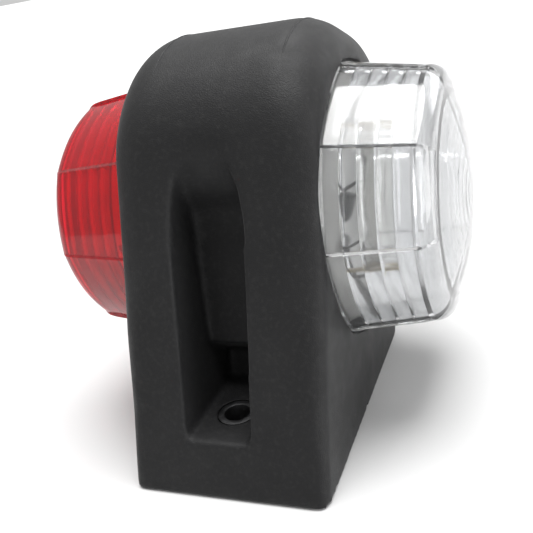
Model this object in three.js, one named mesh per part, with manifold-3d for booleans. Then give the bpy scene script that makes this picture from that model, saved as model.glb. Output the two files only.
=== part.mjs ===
// Two-sided outline marker lamp: a rubber stem with a clear lens on one side and a red lens on the other.
// Millimetres. The finished part stands on its mounting face: Z = 0 is that face, +Z points away from it,
// +X points to the clear lens and +Y to the back. The lamp itself is drawn in its own upright frame
// (lens centre line along X, front face vertical) and leans back on the mounting face by `lean`.
import * as THREE from 'three';
import { mergeVertices } from 'three/addons/utils/BufferGeometryUtils.js';
import Module from 'manifold-3d';

const wasm = await Module();
wasm.setup();

// ---------------------------------------------------------------- driving dimensions
const clearance = 0.3;            // gap between pieces that touch
const lean = THREE.MathUtils.degToRad(19); // mounting face against the square of the front face

const bodyThickness = 52.6;       // rubber body, side face to side face
const rimWall = 3.1;              // rubber in front of and behind the lens pocket
const headWall = 10.4;            // rubber between the lens pocket and the crest
const heelWall = 16.2;            // rubber between the lens pocket and the mounting face
const crestCrown = 0.2;           // crest line rises by this much from its shoulders to the middle
const headRoundDepth = 34;        // rounding from the front and back faces into the crest, along Y
const headRoundHeight = 32.5;     // the same rounding, along Z
const sideRoundAcross = 6;        // rounding of the side edges, measured along X
const sideRoundInPlane = 5;       // the same rounding, measured in the side face

const lensRadius = 35.3;          // lens wall at its base, across its eight corners
const lensTaper = 2.7;            // lens wall narrows by this much up to the shoulder
const facetMid = 0.963;           // middle of a bulged facet against its corners
const lensWallDepth = 19.1;       // straight part of the wall, base to shoulder
const shoulderRise = 4.9;         // shoulder, measured along X
const shoulderWidth = 5.4;        // shoulder, measured inwards to the rim of the dome
const domeRise = 4.2;             // dome above its rim
const lensWall = 2;               // plastic thickness
const flangeLip = 1.3;            // flange beyond the wall
const flangeThickness = 3.1;
const flangeSink = 3.4;           // flange back face below the rubber side face
const lensRibWidth = 1.1;
const lensRibHeight = 0.5;        // corner ribs above the wall

const gasketThickness = 1;
const carrierHeight = 5.7;        // bulb carrier tray, skirt included
const carrierSheet = 1.5;         // carrier wall thickness
const carrierSink = 0.5;          // carrier face below the top of the lens flange
const wireHoleRadius = 3.6;       // hole in the carrier for the two leads
const wireHoleY = -14.5;
const wireHoleZ = -4;
const coreRadius = 17;            // tunnel between the two lens pockets

const bulbGlassRadius = 5.1;
const bulbGlassLength = 24.6;
const bulbGlassSheet = 0.6;
const bulbNeckRadius = 4.1;
const bulbShoulder = 2.4;         // glass narrows to its neck over this length
const bulbCapRadius = 4.2;
const bulbCapLength = 5;
const bulbTipRadius = 1.3;
const bulbTipLength = 0.9;
const bulbStandOff = 9;           // bulb axis above the carrier face
const filamentWireRadius = 0.3;
const filamentCoilRadius = 0.6;
const filamentCoilLength = 9.2;

const contactSheet = 0.6;
const contactWidth = 7;
const contactFootEnd = 3;         // foot beyond the rivet axis
const contactRise = 12.6;         // upright, above the carrier face
const contactLipOut = 1.2;        // bent lip at the free end, measured along X
const contactLipBack = 2;         // and away from the bulb
const rivetShare = 0.224;         // rivet's place on its way from the upright to the carrier skirt
const rivetRadius = 1.2;
const rivetHeadRadius = 2.2;
const rivetHeadHeight = 0.8;

const leadRadius = 0.9;           // insulated lead
const terminalLength = 17;        // terminal block along X
const terminalWidth = 9;
const terminalHeight = 9;
const terminalWaistWidth = 1.6;   // notch between the two halves
const terminalWaistDepth = 1.5;
const terminalScrewRadius = 1.4;
const terminalScrewHeight = 1;
const terminalScrewPitch = 8;
const terminalSlotWidth = 0.5;

const plateThickness = 2.5;       // steel base plate
const plateWidth = 40;
const plateMargin = 8;            // rubber border in front of and behind the plate
const plateCorner = 4;
const screwHoleRadius = 3.25;     // clearance for an M6 screw
const sleeveRadius = 5;
const ledgeHeight = 13;           // scoop ledge above the mounting face
const frontScrewInset = 17;       // front screw axis from the front edge of the mounting face
const rearNutInset = 14;          // rear nut axis from the rear edge
const nutAcrossFlats = 10;
const nutHeight = 5;
const nutHoleRadius = 2.5;
const cableToNut = 14.86;         // cable inlet axis in front of the rear nut axis
const cableHoleRadius = 4.4;
const grommetBoreRadius = 3.1;       // lets a 6 mm cable through
const grommetFlangeRadius = 6;
const grommetFlangeThickness = 1.4;
const grommetLength = 7;
const grommetTaper = 0.6;         // the end inside the rubber is this much slimmer
const drainRadius = 1.4;          // drain groove in the rubber border
const drainY = -1.5;

const scoopCentre = -1.2;         // scoop centre line along X
const scoopHalfWidth = 9.4;       // at the lamp axis
const scoopFootHalfWidth = 8.2;   // at the ledge
const scoopTopZ = 14;             // where the scoop runs out of the front face
const scoopDepthAtAxis = 12.3;    // floor below the front face at the lamp axis
const scoopDepthLow = 16.4;       // floor where it meets the pit
const scoopPitDepth = 27;         // pit round the screw head
const scoopPitHeight = 7.9;       // pit above the ledge, at its back
const scoopPitStep = 3.5;         // sloping stretch from the floor into the pit
const scoopBendZ = -12;           // the sides of the scoop run straight up to here
const scoopTipHalfWidth = 1;
const scoopTipRise = 0.8;          // tip of the side outline above scoopTopZ
const scoopTopFullness = 0.65;    // how far up the floor keeps its depth, as a share of scoopTopZ

// ---------------------------------------------------------------- derived sizes
const lensTopRadius = lensRadius - lensTaper;
const domeRimRadius = lensTopRadius - shoulderWidth;
const flangeRadius = lensRadius + flangeLip;
const pocketRadius = flangeRadius + clearance;
const halfDepth = pocketRadius * facetMid + rimWall;
const halfThickness = bodyThickness / 2;
const crestZ = pocketRadius * facetMid + headWall;
const lampHeight = pocketRadius + heelWall;
const footDrop = (lampHeight + halfDepth * Math.sin(lean)) / Math.cos(lean);
const faceLength = 2 * halfDepth / Math.cos(lean);
const lampY = halfDepth * Math.cos(lean) + footDrop * Math.sin(lean) - faceLength / 2;
const frontY = -faceLength / 2;

const lensSeatX = halfThickness - flangeSink;
const lensBaseX = lensSeatX + flangeThickness;
const shoulderX = lensBaseX + lensWallDepth;
const domeX = shoulderX + shoulderRise;
const gasketX = lensSeatX - clearance - gasketThickness;
const gasketStepX = gasketX - clearance;
const carrierFaceX = lensBaseX - carrierSink;
const carrierBackX = carrierFaceX - carrierHeight;
const carrierFloorX = carrierBackX - clearance;
const carrierRadius = lensRadius - lensWall - 3 * clearance;
const carrierPocketRadius = carrierRadius + clearance;
const bulbX = carrierFaceX + bulbStandOff;
const capStartZ = bulbGlassLength / 2 + clearance;
const capEndZ = capStartZ + bulbCapLength;
const contactZ = capEndZ + clearance;
const contactBaseX = carrierFaceX + clearance;
const rivetNearZ = contactZ + contactSheet + rivetHeadRadius + clearance;
const rivetFarZ = (carrierRadius - carrierSheet) * facetMid - rivetHeadRadius - clearance;
const rivetZ = rivetNearZ + (rivetFarZ - rivetNearZ) * rivetShare;
const contactFoot = rivetZ + contactFootEnd - contactZ;

// ---------------------------------------------------------------- frames
const toRow = new THREE.Matrix4()
  .makeTranslation(0, lampY, lampHeight)
  .multiply(new THREE.Matrix4().makeRotationX(-lean));
const shapeToYZ = new THREE.Matrix4().makeBasis(
  new THREE.Vector3(0, 1, 0), new THREE.Vector3(0, 0, 1), new THREE.Vector3(1, 0, 0));
const shapeToXZ = new THREE.Matrix4().makeBasis(
  new THREE.Vector3(1, 0, 0), new THREE.Vector3(0, 0, 1), new THREE.Vector3(0, -1, 0));

// ---------------------------------------------------------------- solids
// A welded triangle list with its faces turned outwards, ready for a boolean.
function toSolid(geometry) {
  const bare = geometry.clone();
  bare.deleteAttribute('normal');
  bare.deleteAttribute('uv');
  const welded = mergeVertices(bare, 1e-4);
  const position = welded.getAttribute('position');
  const index = welded.index.array;
  const triangles = [];
  const corners = [new THREE.Vector3(), new THREE.Vector3(), new THREE.Vector3()];
  let volume = 0;
  for (let i = 0; i < index.length; i += 3) {
    const [a, b, c] = [index[i], index[i + 1], index[i + 2]];
    if (a === b || b === c || c === a) continue;
    triangles.push(a, b, c);
    corners[0].fromBufferAttribute(position, a);
    corners[1].fromBufferAttribute(position, b);
    corners[2].fromBufferAttribute(position, c);
    volume += corners[0].dot(corners[1].cross(corners[2]));
  }
  if (volume < 0) triangles.reverse();
  return new wasm.Manifold(new wasm.Mesh({
    numProp: 3,
    vertProperties: new Float32Array(position.array),
    triVerts: new Uint32Array(triangles),
  }));
}

function toGeometry(solid) {
  const mesh = solid.getMesh();
  const geometry = new THREE.BufferGeometry();
  geometry.setAttribute('position', new THREE.BufferAttribute(new Float32Array(mesh.vertProperties), 3));
  geometry.setIndex(new THREE.BufferAttribute(new Uint32Array(mesh.triVerts), 1));
  return geometry;
}

function cut(geometry, ...tools) {
  return toGeometry(tools.reduce((solid, tool) => solid.subtract(toSolid(tool)), toSolid(geometry)));
}

function join(geometry, ...others) {
  return toGeometry(others.reduce((solid, other) => solid.add(toSolid(other)), toSolid(geometry)));
}

function overlapOf(first, second) {
  return toGeometry(toSolid(first).intersect(toSolid(second)));
}

// A copy turned over by negative factors; its faces are wound the other way to stay outward.
function flipped(geometry, x, y, z) {
  const copy = toGeometry(toSolid(geometry));
  copy.scale(x, y, z);
  if (x * y * z < 0) copy.index.array.reverse();
  return copy;
}

// A shape drawn in (Y, Z), filled between two X values.
function alongX(shape, fromX, toX, bevel = {}) {
  const options = { depth: toX - fromX, bevelEnabled: false, steps: 1, curveSegments: 6, ...bevel };
  return new THREE.ExtrudeGeometry(shape, options).applyMatrix4(shapeToYZ).translate(fromX, 0, 0);
}

// A shape drawn in (X, Z), filled between two Y values.
function alongY(shape, fromY, toY) {
  const options = { depth: toY - fromY, bevelEnabled: false, steps: 1, curveSegments: 8 };
  return new THREE.ExtrudeGeometry(shape, options).applyMatrix4(shapeToXZ).translate(0, toY, 0);
}

// A shape drawn in (X, Y), filled between two Z values.
function alongZ(shape, fromZ, toZ) {
  const options = { depth: toZ - fromZ, bevelEnabled: false, steps: 1, curveSegments: 4 };
  return new THREE.ExtrudeGeometry(shape, options).translate(0, 0, fromZ);
}

function rodX(radius, fromX, toX, y, z, sides = 16) {
  return new THREE.CylinderGeometry(radius, radius, Math.abs(toX - fromX), sides)
    .rotateZ(-Math.PI / 2).translate((fromX + toX) / 2, y, z);
}

function rodZ(radius, fromZ, toZ, x, y, sides = 16) {
  return new THREE.CylinderGeometry(radius, radius, toZ - fromZ, sides)
    .rotateX(Math.PI / 2).translate(x, y, (fromZ + toZ) / 2);
}

function block(fromX, toX, fromY, toY, fromZ, toZ) {
  return new THREE.BoxGeometry(toX - fromX, toY - fromY, toZ - fromZ)
    .translate((fromX + toX) / 2, (fromY + toY) / 2, (fromZ + toZ) / 2);
}

// A turned piece: points are [radius, height], the height runs along Z.
function turnedZ(points, segments = 24) {
  const profile = points.map(([radius, height]) => new THREE.Vector2(radius, height));
  return new THREE.LatheGeometry(profile, segments).rotateX(Math.PI / 2);
}

// Corner-to-facet ratio of the eight-sided lens outline at one angle round the lens.
function facetRatio(angle) {
  const half = Math.PI / 8;
  const offset = THREE.MathUtils.euclideanModulo(angle + half, 2 * half) - half;
  const chord = Math.cos(half) / Math.cos(offset);
  return chord + (facetMid - Math.cos(half)) * (1 - (offset / half) ** 2);
}

function eightSided(geometry) {
  const position = geometry.getAttribute('position');
  for (let i = 0; i < position.count; i += 1) {
    const y = position.getY(i);
    const z = position.getZ(i);
    const ratio = facetRatio(Math.atan2(z, y));
    position.setY(i, y * ratio);
    position.setZ(i, z * ratio);
  }
  return geometry;
}

// A piece turned about the lens centre line and given the eight-sided outline: points are
// [corner radius, distance from the middle plane], and side is +1 (clear) or -1 (red).
function turnedX(points, side, segments = 48) {
  const profile = points.map(([radius, distance]) => new THREE.Vector2(radius, distance));
  const geometry = new THREE.LatheGeometry(profile, segments);
  return eightSided(geometry.rotateZ(-side * Math.PI / 2));
}

function pocket(radius, fromX, toX, side) {
  return turnedX([[0, fromX], [radius, fromX], [radius, toX], [0, toX]], side);
}

function arcPoints(centre, radii, fromAngle, toAngle, steps) {
  return Array.from({ length: steps + 1 }, (_, i) => {
    const angle = fromAngle + (toAngle - fromAngle) * i / steps;
    return [centre[0] + radii[0] * Math.cos(angle), centre[1] + radii[1] * Math.sin(angle)];
  });
}

// ---------------------------------------------------------------- rubber body
// Side outline of the body in the lamp frame, grown or shrunk by `inset`; its foot runs below the
// mounting face, where it is cut off.
function bodyOutline(inset) {
  const half = halfDepth - inset;
  const crest = crestZ - inset;
  const below = -footDrop - faceLength * Math.sin(lean) / 2;
  const outline = new THREE.Shape();
  outline.moveTo(-half, below);
  outline.lineTo(half, below);
  const shoulder = crest - crestCrown;
  const acrossRound = headRoundDepth - inset;
  const upRound = headRoundHeight - inset;
  outline.lineTo(half, shoulder - upRound);
  outline.absellipse(half - acrossRound, shoulder - upRound, acrossRound, upRound, 0, Math.PI / 2, false);
  outline.quadraticCurveTo(0, crest + crestCrown, -half + acrossRound, shoulder);
  outline.absellipse(-half + acrossRound, shoulder - upRound, acrossRound, upRound, Math.PI / 2, Math.PI, false);
  return outline;
}

function bodyBlank() {
  return alongX(bodyOutline(sideRoundInPlane), -halfThickness + sideRoundAcross, halfThickness - sideRoundAcross, {
    bevelEnabled: true,
    bevelThickness: sideRoundAcross,
    bevelSize: sideRoundInPlane,
    bevelSegments: 4,
    curveSegments: 8,
  });
}

// The scoop in the front face gives a screwdriver its way to the front screw. Its floor sinks gently
// from the run-out under the crest, drops into a pit and ends on a ledge parallel to the mounting face.
function scoopTool() {
  const overrun = 6;
  const outside = -halfDepth - overrun;
  const rise = Math.tan(lean);
  const ledgeZ = -footDrop + ledgeHeight / Math.cos(lean);
  const ledgeBackZ = ledgeZ + scoopPitDepth * rise;
  const pitTopZ = ledgeBackZ + scoopPitHeight;
  const side = new THREE.Shape();
  side.moveTo(outside, scoopTopZ + overrun);
  side.lineTo(-halfDepth, scoopTopZ);
  side.quadraticCurveTo(-halfDepth + scoopDepthAtAxis, scoopTopZ * scoopTopFullness, -halfDepth + scoopDepthAtAxis, 0);
  side.lineTo(-halfDepth + scoopDepthLow, pitTopZ + scoopPitStep);
  side.lineTo(-halfDepth + scoopPitDepth, pitTopZ);
  side.lineTo(-halfDepth + scoopPitDepth, ledgeBackZ);
  side.lineTo(outside, ledgeZ - overrun * rise);
  const front = new THREE.Shape();
  front.moveTo(scoopCentre - scoopFootHalfWidth, -footDrop);
  front.lineTo(scoopCentre + scoopFootHalfWidth, -footDrop);
  front.lineTo(scoopCentre + scoopHalfWidth, scoopBendZ);
  front.quadraticCurveTo(scoopCentre + scoopHalfWidth, scoopTopZ,
    scoopCentre + scoopTipHalfWidth, scoopTopZ + scoopTipRise);
  front.lineTo(scoopCentre - scoopTipHalfWidth, scoopTopZ + scoopTipRise);
  front.quadraticCurveTo(scoopCentre - scoopHalfWidth, scoopTopZ, scoopCentre - scoopHalfWidth, scoopBendZ);
  return overlapOf(alongX(side, -halfThickness, halfThickness), alongY(front, outside - 1, 0));
}

const frontScrewY = frontY + frontScrewInset;
const rearNutY = -frontY - rearNutInset;
const cableHoleY = rearNutY - cableToNut;
const plateFrontY = frontY + plateMargin;
const plateRearY = -frontY - plateMargin;

function rubberBody() {
  const room = bodyThickness + 20;
  const inLampFrame = [
    scoopTool(),
    rodX(coreRadius, -carrierFloorX - 1, carrierFloorX + 1, 0, 0, 32),
    ...[1, -1].flatMap((side) => [
      pocket(carrierPocketRadius, carrierFloorX, halfThickness + 5, side),
      pocket(pocketRadius, gasketStepX, halfThickness + 5, side),
    ]),
  ].map((tool) => tool.applyMatrix4(toRow));
  const passageTop = lampHeight - coreRadius / 2;
  const inRowFrame = [
    block(-room, room, -room * 2, room * 2, -60, 0),
    block(-plateWidth / 2 - clearance, plateWidth / 2 + clearance,
      plateFrontY - clearance, plateRearY + clearance, -1, plateThickness + clearance),
    rodZ(sleeveRadius + clearance, 0, ledgeHeight + 1, scoopCentre, frontScrewY, 24),
    rodZ(nutAcrossFlats / Math.sqrt(3) + clearance, 0, plateThickness + nutHeight + 2 * clearance + clearance,
      0, rearNutY),
    rodZ(grommetFlangeRadius + clearance, 0, plateThickness + grommetFlangeThickness + 3 * clearance,
      0, cableHoleY, 24),
    rodZ(cableHoleRadius + clearance, 0, passageTop, 0, cableHoleY, 24),
    rodX(drainRadius, -halfThickness - 1, halfThickness + 1, drainY, 0, 12),
  ];
  return cut(bodyBlank().applyMatrix4(toRow), ...inLampFrame, ...inRowFrame);
}

// ---------------------------------------------------------------- pieces in the mounting face
function roundedPlate(halfX, fromY, toY, corner) {
  const plate = new THREE.Shape();
  plate.moveTo(-halfX + corner, fromY);
  plate.lineTo(halfX - corner, fromY);
  plate.quadraticCurveTo(halfX, fromY, halfX, fromY + corner);
  plate.lineTo(halfX, toY - corner);
  plate.quadraticCurveTo(halfX, toY, halfX - corner, toY);
  plate.lineTo(-halfX + corner, toY);
  plate.quadraticCurveTo(-halfX, toY, -halfX, toY - corner);
  plate.lineTo(-halfX, fromY + corner);
  plate.quadraticCurveTo(-halfX, fromY, -halfX + corner, fromY);
  return plate;
}

function basePlate() {
  return cut(
    alongZ(roundedPlate(plateWidth / 2, plateFrontY, plateRearY, plateCorner), 0, plateThickness),
    rodZ(screwHoleRadius, -1, plateThickness + 1, scoopCentre, frontScrewY, 24),
    rodZ(screwHoleRadius, -1, plateThickness + 1, 0, rearNutY, 24),
    rodZ(cableHoleRadius, -1, plateThickness + 1, 0, cableHoleY, 24),
  );
}

function fixingSleeve() {
  const foot = plateThickness + clearance;
  return turnedZ([[screwHoleRadius, foot], [sleeveRadius, foot], [sleeveRadius, ledgeHeight],
    [screwHoleRadius, ledgeHeight], [screwHoleRadius, foot]]).translate(scoopCentre, frontScrewY, 0);
}

function rearNut() {
  const from = plateThickness + clearance;
  const hexagon = new THREE.CylinderGeometry(nutAcrossFlats / Math.sqrt(3), nutAcrossFlats / Math.sqrt(3), nutHeight, 6)
    .rotateX(Math.PI / 2).translate(0, rearNutY, from + nutHeight / 2);
  return cut(hexagon, rodZ(nutHoleRadius, from - 1, from + nutHeight + 1, 0, rearNutY, 24));
}

function cableGrommet() {
  const neck = cableHoleRadius - clearance;
  const under = plateThickness + clearance;
  const over = under + grommetFlangeThickness;
  return turnedZ([[grommetBoreRadius, clearance], [neck, clearance], [neck, under], [grommetFlangeRadius, under],
    [grommetFlangeRadius, over], [neck, over], [neck - grommetTaper, grommetLength + clearance],
    [grommetBoreRadius, grommetLength + clearance], [grommetBoreRadius, clearance]])
    .translate(0, cableHoleY, 0);
}

// ---------------------------------------------------------------- lens, gasket and bulb carrier
function lensProfile() {
  const shoulder = arcPoints([domeRimRadius, shoulderX], [shoulderWidth, shoulderRise],
    0, Math.PI / 2, 4);
  const dome = Array.from({ length: 4 }, (_, i) => {
    const share = 1 - (i + 1) / 4;
    return [domeRimRadius * share, domeX + domeRise * (1 - share ** 2)];
  });
  const innerDome = Array.from({ length: 4 }, (_, i) => {
    const share = i / 4;
    return [(domeRimRadius - lensWall) * share, domeX - lensWall + domeRise * (1 - share ** 2)];
  });
  const innerShoulder = arcPoints([domeRimRadius - lensWall, shoulderX - lensWall],
    [shoulderWidth, shoulderRise], Math.PI / 2, 0, 4);
  return [...shoulder, ...dome, ...innerDome, ...innerShoulder,
    [lensRadius - lensWall, lensSeatX], [flangeRadius, lensSeatX], [flangeRadius, lensBaseX],
    [lensRadius, lensBaseX], shoulder[0]];
}

// One rib runs up each corner of the lens wall.
function lensRib(side, corner) {
  const slope = Math.atan2(lensTaper, lensWallDepth);
  const length = lensWallDepth / Math.cos(slope);
  return new THREE.BoxGeometry(length, 2 * lensRibHeight, lensRibWidth)
    .rotateZ(-slope)
    .translate(lensBaseX + lensWallDepth / 2, (lensRadius + lensTopRadius) / 2, 0)
    .scale(side, 1, 1)
    .rotateX(Math.PI / 8 + corner * Math.PI / 4);
}

function lens(side) {
  const ribs = Array.from({ length: 8 }, (_, corner) => lensRib(side, corner));
  return join(turnedX(lensProfile(), side), ...ribs);
}

function gasket(side) {
  const inner = carrierPocketRadius + clearance;
  const outer = flangeRadius - clearance;
  return turnedX([[inner, gasketX], [outer, gasketX], [outer, gasketX + gasketThickness],
    [inner, gasketX + gasketThickness], [inner, gasketX]], side);
}

function carrier(side) {
  const under = carrierFaceX - carrierSheet;
  const tray = turnedX([[0, under], [carrierRadius - carrierSheet, under], [carrierRadius - carrierSheet, carrierBackX],
    [carrierRadius, carrierBackX], [carrierRadius, carrierFaceX], [0, carrierFaceX]], side);
  const rivetHoles = [1, -1].map((end) => rodX(rivetRadius + clearance,
    side * (under - 1), side * (carrierFaceX + 1), 0, end * rivetZ, 16));
  return cut(tray, ...rivetHoles,
    rodX(wireHoleRadius, side * (under - 1), side * (carrierFaceX + 1), wireHoleY, wireHoleZ));
}

// ---------------------------------------------------------------- spring contacts, rivets and bulb
function contact(side, end) {
  const strip = new THREE.Shape();
  const top = contactBaseX + contactRise;
  strip.moveTo(contactBaseX, contactZ);
  strip.lineTo(top, contactZ);
  strip.lineTo(top + contactLipOut, contactZ + contactLipBack - contactSheet / 2);
  strip.lineTo(top + contactLipOut - contactSheet / 2, contactZ + contactLipBack);
  strip.lineTo(top, contactZ + contactSheet);
  strip.lineTo(contactBaseX + contactSheet, contactZ + contactSheet);
  strip.lineTo(contactBaseX + contactSheet, contactZ + contactFoot);
  strip.lineTo(contactBaseX, contactZ + contactFoot);
  const blank = alongY(strip, -contactWidth / 2, contactWidth / 2);
  const tipHole = rodZ(bulbTipRadius + clearance, contactZ - 1, contactZ + contactSheet + 1, bulbX, 0, 16);
  const rivetHole = rodX(rivetRadius + clearance, contactBaseX - 1, contactBaseX + contactSheet + 1, 0, rivetZ, 16);
  return flipped(cut(blank, tipHole, rivetHole), side, 1, end);
}

function rivet(side, end) {
  const tail = carrierFaceX - carrierSheet - clearance;
  const head = contactBaseX + contactSheet + clearance;
  return new THREE.LatheGeometry([[0, tail - rivetHeadHeight], [rivetHeadRadius, tail - rivetHeadHeight],
    [rivetHeadRadius, tail], [rivetRadius, tail], [rivetRadius, head], [rivetHeadRadius, head],
    [rivetHeadRadius * 0.7, head + rivetHeadHeight], [0, head + rivetHeadHeight]]
    .map(([radius, distance]) => new THREE.Vector2(radius, distance)), 12)
    .rotateZ(-side * Math.PI / 2).translate(0, 0, end * rivetZ);
}

function bulbGlass() {
  const end = bulbGlassLength / 2;
  const outside = [[bulbNeckRadius, -end], [bulbGlassRadius, -end + bulbShoulder], [bulbGlassRadius, end - bulbShoulder],
    [bulbNeckRadius, end]];
  const inside = outside.map(([radius, z]) => [radius - bulbGlassSheet, z]).reverse();
  return turnedZ([...outside, ...inside, outside[0]]);
}

function bulbCap(end) {
  const cap = turnedZ([[0, capStartZ], [bulbCapRadius, capStartZ], [bulbCapRadius, capStartZ + bulbCapLength * 0.5],
    [bulbTipRadius * 2, capEndZ], [bulbTipRadius, capEndZ], [bulbTipRadius, capEndZ + bulbTipLength],
    [0, capEndZ + bulbTipLength]], 24);
  return end > 0 ? cap : cap.rotateX(Math.PI);
}

function filament() {
  const end = capStartZ - clearance;
  const coil = filamentCoilLength / 2;
  const step = filamentCoilRadius - filamentWireRadius;
  return turnedZ([[0, -end], [filamentWireRadius, -end], [filamentWireRadius, -coil - step],
    [filamentCoilRadius, -coil], [filamentCoilRadius, coil], [filamentWireRadius, coil + step],
    [filamentWireRadius, end], [0, end]], 10);
}

// ---------------------------------------------------------------- terminal block and leads
const terminalFloorZ = -Math.sqrt(coreRadius ** 2 - (terminalWidth / 2) ** 2) + clearance;
const terminalTopZ = terminalFloorZ + terminalHeight;

function terminalBlock() {
  const body = block(-terminalLength / 2, terminalLength / 2, -terminalWidth / 2, terminalWidth / 2,
    terminalFloorZ, terminalTopZ);
  const waist = [1, -1].map((end) => block(-terminalWaistWidth / 2, terminalWaistWidth / 2,
    end * terminalWidth / 2 - terminalWaistDepth, end * terminalWidth / 2 + terminalWaistDepth,
    terminalFloorZ - 1, terminalTopZ + 1));
  return cut(body, ...waist);
}

function terminalScrew(end) {
  const base = terminalTopZ + clearance;
  const head = turnedZ([[0, base], [terminalScrewRadius, base], [terminalScrewRadius, base + terminalScrewHeight],
    [0, base + terminalScrewHeight]], 20);
  const slot = block(-terminalScrewRadius - 1, terminalScrewRadius + 1, -terminalSlotWidth / 2, terminalSlotWidth / 2,
    base + terminalScrewHeight * 0.5, base + terminalScrewHeight + 1);
  return cut(head, slot).translate(end * terminalScrewPitch / 2, 0, 0);
}

// A lead runs from the end face of the terminal block, through the carrier and to one contact foot.
function lead(side, end) {
  const section = new THREE.Shape();
  section.absarc(0, 0, leadRadius, 0, 2 * Math.PI, false);
  const across = end * 1.5;
  const footX = contactBaseX + contactSheet + clearance + leadRadius;
  const footY = -contactWidth / 2 + leadRadius;
  const route = new THREE.CatmullRomCurve3([
    new THREE.Vector3(terminalLength / 2 + 2 * clearance, end * 2, terminalFloorZ + terminalHeight / 2),
    new THREE.Vector3(terminalLength / 2 + 3, end * 2, terminalFloorZ + terminalHeight / 2),
    new THREE.Vector3(carrierBackX - 2, wireHoleY + 3, wireHoleZ + across - 1),
    new THREE.Vector3(carrierFaceX - 1, wireHoleY, wireHoleZ + across),
    new THREE.Vector3(carrierFaceX + 3, wireHoleY - 3, wireHoleZ + across * 1.8),
    new THREE.Vector3(carrierFaceX + 4, wireHoleY - 2, end * contactZ * 0.45),
    new THREE.Vector3(footX + 1.5, footY - 3.5, end * (contactZ + 1.5)),
    new THREE.Vector3(footX, footY, end * (contactZ + 2.4)),
  ]);
  const options = { steps: 20, curveSegments: 4, bevelEnabled: false, extrudePath: route };
  return flipped(new THREE.ExtrudeGeometry(section, options), side, 1, 1);
}

// ---------------------------------------------------------------- finishes
const finish = (color, roughness, metalness) => new THREE.MeshStandardMaterial({ color, roughness, metalness });
const rubber = finish(0x1b1b1c, 0.75, 0);
const softRubber = finish(0x2a2a2b, 0.8, 0);
const clearPlastic = finish(0xeef0f0, 0.08, 0);
clearPlastic.transparent = true;
clearPlastic.opacity = 0.35;
const redPlastic = finish(0xc8101c, 0.12, 0);
redPlastic.transparent = true;
redPlastic.opacity = 0.75;
const whitePlastic = finish(0xf0eee6, 0.45, 0);
const zincSteel = finish(0xa8abae, 0.35, 1);
const brass = finish(0xc9a24a, 0.3, 1);
const tinned = finish(0xc4c6c8, 0.25, 1);
const bulbClear = finish(0xf4f4f2, 0.03, 0);
bulbClear.transparent = true;
bulbClear.opacity = 0.3;
const tungsten = finish(0x6a6a6c, 0.4, 1);
const blackSleeve = finish(0x101011, 0.5, 0);

// ---------------------------------------------------------------- assembly
const lamp = new THREE.Group();
lamp.name = 'outline_marker_lamp';
const head = new THREE.Group();
toRow.decompose(head.position, head.quaternion, head.scale);
lamp.add(head);

function place(parent, name, geometry, material) {
  const mesh = new THREE.Mesh(geometry, material);
  mesh.name = name;
  parent.add(mesh);
  return mesh;
}

place(lamp, 'rubber_body', rubberBody(), rubber);
place(lamp, 'base_plate', basePlate(), zincSteel);
place(lamp, 'fixing_sleeve', fixingSleeve(), zincSteel);
place(lamp, 'rear_nut', rearNut(), zincSteel);
place(lamp, 'cable_grommet', cableGrommet(), softRubber);
place(head, 'terminal_block', terminalBlock(), whitePlastic);
place(head, 'terminal_screw_clear', terminalScrew(1), brass);
place(head, 'terminal_screw_red', terminalScrew(-1), brass);

for (const { word, side, plastic } of [
  { word: 'clear', side: 1, plastic: clearPlastic },
  { word: 'red', side: -1, plastic: redPlastic },
]) {
  place(head, `${word}_lens`, lens(side), plastic);
  place(head, `${word}_gasket`, gasket(side), softRubber);
  place(head, `${word}_carrier`, carrier(side), whitePlastic);
  place(head, `${word}_bulb_glass`, bulbGlass(), bulbClear).position.x = side * bulbX;
  place(head, `${word}_filament`, filament(), tungsten).position.x = side * bulbX;
  for (const { level, end } of [{ level: 'upper', end: 1 }, { level: 'lower', end: -1 }]) {
    place(head, `${word}_bulb_cap_${level}`, bulbCap(end), tinned).position.x = side * bulbX;
    place(head, `${word}_contact_${level}`, contact(side, end), brass);
    place(head, `${word}_rivet_${level}`, rivet(side, end), brass);
    place(head, `${word}_lead_${level}`, lead(side, end), blackSleeve);
  }
}

export default lamp;
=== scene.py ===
# %% [markdown]
# # A two-sided marker lamp
# A rubber stem holds a clear lens on one side and a red lens on the other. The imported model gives
# every piece its place. This script gives each visible piece its moulded, turned or bent shape and
# its finish. The frame is loaded first, because all positions come from it.

# %% Load the frame
from math import atan2, cos, pi, radians, sin

import bmesh
import bpy
import numpy as np
from mathutils import Matrix, Vector


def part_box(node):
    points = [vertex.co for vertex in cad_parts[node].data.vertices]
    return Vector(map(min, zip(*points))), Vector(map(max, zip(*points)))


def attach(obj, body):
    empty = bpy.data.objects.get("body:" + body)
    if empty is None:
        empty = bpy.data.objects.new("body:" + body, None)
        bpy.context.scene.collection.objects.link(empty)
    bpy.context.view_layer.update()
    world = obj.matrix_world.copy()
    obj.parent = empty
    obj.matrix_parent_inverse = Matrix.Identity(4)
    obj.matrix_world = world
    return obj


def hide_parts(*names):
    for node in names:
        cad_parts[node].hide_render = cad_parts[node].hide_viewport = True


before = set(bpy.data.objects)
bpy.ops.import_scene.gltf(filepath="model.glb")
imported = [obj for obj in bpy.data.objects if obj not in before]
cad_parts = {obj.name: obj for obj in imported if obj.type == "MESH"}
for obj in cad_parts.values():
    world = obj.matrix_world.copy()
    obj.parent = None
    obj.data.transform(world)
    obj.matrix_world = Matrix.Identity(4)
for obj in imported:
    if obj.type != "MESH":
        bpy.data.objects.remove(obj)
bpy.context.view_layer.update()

# %% [markdown]
# ## The lamp's own frame
# The real lamp leans back from its mounting face. Modelling a leaning thing is awkward, so each piece is
# drawn upright about the lens centre line, in millimetres, and one matrix lays it into the frame.

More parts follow.
